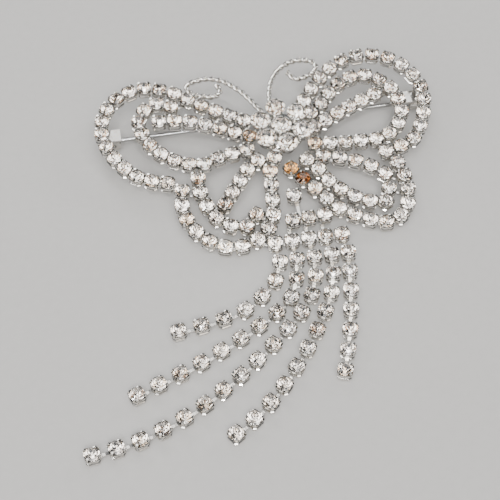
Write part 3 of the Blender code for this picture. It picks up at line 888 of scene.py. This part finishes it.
# %% The two antennae
# Routes in the butterfly's plane, in millimetres from its middle: along the pin, toward the head
LEFT_ROUTE = [(-2.2, 6.8), (-3.1, 8.6), (-4.3, 10.8), (-6.6, 14.0), (-10.2, 16.7), (-13.9, 17.0),
              (-16.3, 15.8), (-15.8, 14.3), (-13.2, 13.0), (-10.7, 12.8), (-9.8, 14.1), (-10.5, 15.4)]
RIGHT_ROUTE = [(-0.3, 7.3), (-0.4, 9.3), (-0.1, 12.0), (1.6, 15.9), (4.6, 18.3), (8.2, 18.7),
               (10.3, 17.3), (9.8, 15.7), (7.6, 14.5), (5.6, 14.5), (4.3, 16.3)]
ROUTE_HEIGHT = 0.6               # mm above the plane, where both wires stay clear of the chains
PIN_HINGE_PLACE = (-32.4, 7.2, -2.3)  # the pin's hinge, in the same millimetres
TWIST = {"Wire Radius": 0.31 * MM, "Stand Off": 0.29 * MM, "Lay": 2.8 * MM, "Step": 0.16 * MM,
         "Finish": silver_plating}


def in_plane(along, toward, out):
    """A point of the butterfly's plane, in metres."""
    hinge = Vector(joints["pin_hinge"]["pos_m"])
    steps = [(value - start) * MM for value, start in zip((along, toward, out), PIN_HINGE_PLACE)]
    return hinge + ALONG_PIN * steps[0] + TOWARD_HEAD * steps[1] + OUT_OF_PLANE * steps[2]


def twisted_antenna(name, route):
    """A smooth curve along the route, twisted into two wires by the tree."""
    data = bpy.data.curves.new(name, "CURVE")
    data.dimensions = "3D"
    data.twist_mode = "Z_UP"
    spline = data.splines.new("BEZIER")
    spline.bezier_points.add(len(route) - 1)
    for corner, (along, toward) in zip(spline.bezier_points, route):
        corner.co = in_plane(along, toward, ROUTE_HEIGHT)
        corner.handle_left_type = corner.handle_right_type = "AUTO"
    carrier = new_object(name, data)
    modifier = carrier.modifiers.new("Twist", "NODES")
    modifier.node_group = twist_wires
    ids = socket_ids(twist_wires)
    for label, value in TWIST.items():
        modifier[ids[label]] = value
    mesh = settled(carrier, modifier)
    bpy.data.objects.remove(carrier)
    made = new_object(name, mesh)
    smooth(made, 50)
    return made


for node_name, route in (("left_antenna", LEFT_ROUTE), ("right_antenna", RIGHT_ROUTE)):
    antenna = twisted_antenna(node_name + "_wires", route)
    install(antenna, "butterfly", "silver_plate", node_name)
    print(antenna.name, len(antenna.data.polygons), "faces")

# %% [markdown]
# ## The back: plate, hinge, pin and catch
# The back is plain working metal. The plate is a stamped disc with a rolled edge. The bracket, catch and
# barrel keep the model's shapes, and a small bevel takes the sharpness off their edges, as tumbling
# does. The pin is drawn again with a rounder shank and a ground point.

# %% Softened copies of the model's findings
def softened(name, node_name, width, finish):
    """A merged copy of a CAD node with small rounded edges."""
    mesh = frame["nodes"][node_name].data.copy()
    bm = bmesh.new()
    bm.from_mesh(mesh)
    bmesh.ops.remove_doubles(bm, verts=bm.verts, dist=0.002 * MM)
    bmesh.ops.dissolve_limit(bm, angle_limit=math.radians(1), verts=bm.verts, edges=bm.edges)
    bm.to_mesh(mesh)
    bm.free()
    mesh.materials.clear()
    mesh.materials.append(finish)
    made = new_object(name, mesh)
    smooth(made, 40)
    bevel = made.modifiers.new("Bevel", "BEVEL")
    bevel.width = width * MM
    bevel.segments = 2
    bevel.limit_method = "ANGLE"
    bevel.angle_limit = math.radians(40)
    bevel.use_clamp_overlap = True
    bevel.harden_normals = True
    made.data = settled(made, bevel)
    return made


EDGE_ROUNDING = 0.07             # mm
for name, node_name, body in (("hinge_bracket", "joint_bracket", "butterfly"),
                              ("catch_with_foot", "catch_housing", "butterfly"),
                              ("rollover_barrel", "safety_barrel", "safety_barrel")):
    install(softened(name, node_name, EDGE_ROUNDING, silver_plating), body, "silver_plate", node_name)
    print(name, "stands for", node_name)

# %% Plate, rivet and pin
def on_axis(piece, at, axis):
    """Moves a shape drawn about z to its place, with its z axis along the given one."""
    piece.data.transform(Matrix.Translation(at) @ axis.to_track_quat("Z", "Y").to_matrix().to_4x4())
    return piece


def turned_piece(name, profile, steps, at, axis, finish, sharp=35):
    bm = bmesh.new()
    turned(bm, profile, steps)
    made = on_axis(shape_from(name, bm, finish), at, axis)
    smooth(made, sharp)
    return made


PLATE_PROFILE = ((0.0, 0.06), (3.3, 0.06), (3.5, 0.0), (4.25, 0.0), (4.44, 0.08), (4.5, 0.28),
                 (4.44, 0.50), (4.25, 0.60), (0.0, 0.60))
PLATE_DROP = 0.9 * MM            # from the settings' feet down to the plate's back
plate_back = middle - OUT_OF_PLANE * PLATE_DROP
plate = turned_piece("flower_plate", PLATE_PROFILE, 64, plate_back, OUT_OF_PLANE, silver_plating)
install(plate, "butterfly", "silver_plate", "flower_back_plate")

hinge_at = Vector(joints["pin_hinge"]["pos_m"])
RIVET_PROFILE = ((0.0, -1.50), (0.30, -1.48), (0.40, -1.36), (0.40, 1.36), (0.30, 1.48), (0.0, 1.50))
rivet = turned_piece("hinge_rivet", RIVET_PROFILE, 20, hinge_at, TOWARD_HEAD, steel_wire)
install(rivet, "butterfly", "steel_wire", "joint_rivet")


def draw_pin():
    """The eye is a rounded ring about the rivet, and the shank starts inside its wall."""
    bm = bmesh.new()
    ring = ((0.57, -0.40), (0.68, -0.50), (0.86, -0.50), (0.98, -0.38), (1.0, 0.0), (0.98, 0.38),
            (0.86, 0.50), (0.68, 0.50), (0.57, 0.40))
    steps = 28
    rings = [[bm.verts.new((r * math.cos(math.tau * i / steps), r * math.sin(math.tau * i / steps), h))
              for r, h in ring] for i in range(steps)]
    for a, b in zip(rings, rings[1:] + rings[:1]):
        for i in range(len(ring)):
            j = (i + 1) % len(ring)
            bm.faces.new((a[i], a[j], b[j], b[i]))
    eye = on_axis(shape_from("pin_eye", bm, steel_wire), hinge_at, TOWARD_HEAD)
    shank = ((0.0, 0.75), (0.40, 0.75), (0.42, 1.0), (0.42, 56.5), (0.40, 58.0), (0.30, 60.4),
             (0.16, 62.4), (0.06, 62.95), (0.0, 63.0))
    return join("pin", [eye, turned_piece("pin_shank", shank, 20, hinge_at, ALONG_PIN, steel_wire)])


pin = draw_pin()
smooth(pin, 35)
install(pin, "pin_stem", "steel_wire", "pin_stem")

# %% [markdown]
# ## Solder and the tie link
# Wherever two chains pass close, the maker runs a bead of solder between them. The beads are low lumps,
# placed halfway between neighbouring cups of different chains and drawn out to reach both. The thin
# upright link between the two rungs is a strap like the others.

# %% Solder beads
def draw_bead():
    bm = bmesh.new()
    turned(bm, ((0.0, -0.28), (0.34, -0.22), (0.5, -0.04), (0.42, 0.14), (0.2, 0.24), (0.0, 0.26)), 8)
    return shape_from("solder_bead", bm, silver_solder)


solder_bead = draw_bead()
BEAD_REACH = 3.9 * MM            # cups of two chains nearer than this are soldered
BEAD_HEIGHT = 0.3 * MM           # above the cups' feet
CUPS_TAKE = 2.0                  # mm of the way between two cups' middles that a bead needn't cover
cups_by_chain = [(name, foot) for name, row in wing_rows.items() for foot in row]
cups_by_chain += [("tassel_bar", foot) for foot in bar_row]
beads = []
for i, (name, foot) in enumerate(cups_by_chain):
    for other_name, other in cups_by_chain[i + 1:]:
        gap = (other - foot).length
        if other_name != name and gap < BEAD_REACH:
            spread = (max(gap / MM - CUPS_TAKE, 0.8), 1.1, 1.0)
            halfway = (foot + other) / 2 + OUT_OF_PLANE * BEAD_HEIGHT
            beads.append(placing(halfway, other - foot, OUT_OF_PLANE, spread))
solder = set_copies("solder_beads", solder_bead, beads, silver_solder, 8.0, 5)
smooth(solder, 60)
install(solder, "butterfly", "silver_plate")
print("solder beads:", len(beads))

# %% The tie link between the rungs
low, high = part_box("rung_tie_link")
TIE_OVERLAP = 0.5                # mm, so that its ends reach the cups' walls
tie_length = (high.y - low.y) / MM + TIE_OVERLAP
tie_place = placing((low + high) / 2, TOWARD_HEAD, OUT_OF_PLANE, (tie_length, 1.0, 1.0))
tie = set_copies("tie_link", wing_strap, [tie_place], silver_plating)
install(tie, "butterfly", "silver_plate", "rung_tie_link")
print("tie link", round(tie_length, 2), "mm")

# %% [markdown]
# ## Floor and light
# A pale sheet of card lies under the brooch. Crystal and silver show only what they reflect, so the
# light matters more than the metal. Foiled stones send light back to where it came from, so the main
# light is one very large softbox behind the eye. It is so far away that a sun light with a wide angle
# stands for it, and the card is lit evenly to its edges. Soft panels all round give the metal its
# sheens, and four small ones give the facets their points of sparkle.

# %% Floor
FIBRE = 1.5 * MM                 # the card's faint mottling
floor_shape = bmesh.new()
bmesh.ops.create_grid(floor_shape, x_segments=1, y_segments=1, size=1500)
card, tree, shader, place = blank_material("pale_card")
drift(tree, shader, place, FIBRE, 4.0, ("#BEBCB9", "#B6B4B1"))
shader.inputs["Roughness"].default_value = 0.7
floor = shape_from("card_floor", floor_shape, card)
print("floor:", floor.name)

# %% Lights
world = bpy.data.worlds.new("studio")
world.use_nodes = True
world.node_tree.nodes["Background"].inputs["Color"].default_value = linear("#BFC3C8")
world.node_tree.nodes["Background"].inputs["Strength"].default_value = 0.30
bpy.context.scene.world = world
SOFTBOX_ANGLE = 40               # degrees across, as the brooch sees it
SPARKLE_SIZE = 24 * MM
# Each panel's place, in mm, its width, in mm, its power, in watts, and its colour
NEUTRAL, WARM = "#FFFFFF", "#FFF6EA"
PANELS = {"key": ((-190, -90, 430), 200, 0.4, NEUTRAL), "front": ((150, -330, 300), 200, 0.3, WARM),
          "overhead": ((60, 190, 430), 220, 0.3, NEUTRAL), "rim": ((330, 160, 200), 120, 0.35, NEUTRAL),
          "far_side": ((-60, 330, 250), 120, 0.3, NEUTRAL), "left": ((-340, 40, 210), 100, 0.25, NEUTRAL)}
SPARKLES = ((-60, -300, 300), (150, -60, 380), (-300, -220, 200), (20, 40, 480))


def soft_light(name, kind, at_mm, power, **looks):
    """A light that looks at the brooch from its place."""
    light = bpy.data.lights.new(name, kind)
    light.energy = power
    for key, value in looks.items():
        setattr(light, key, value)
    made = new_object(name, light)
    made.location = Vector(at_mm) * MM
    made.rotation_mode = "QUATERNION"
    made.rotation_quaternion = (-made.location).to_track_quat("-Z", "Y")


soft_light("behind_the_eye", "SUN", (-40, -243, 342), 2.9, angle=math.radians(SOFTBOX_ANGLE))
for name, (at, size, power, colour) in PANELS.items():
    soft_light(name, "AREA", at, power, size=size * MM, color=linear(colour)[:3])
for number, at in enumerate(SPARKLES):
    soft_light(f"sparkle_{number}", "AREA", at, 0.2, size=SPARKLE_SIZE)

# %% Put the pattern shapes away
for shape in (claw_cup, chain_stone, flower_stone, wing_strap, swinging_link, hinge_cheeks, flower_setting,
              solder_bead):
    bpy.data.objects.remove(shape)
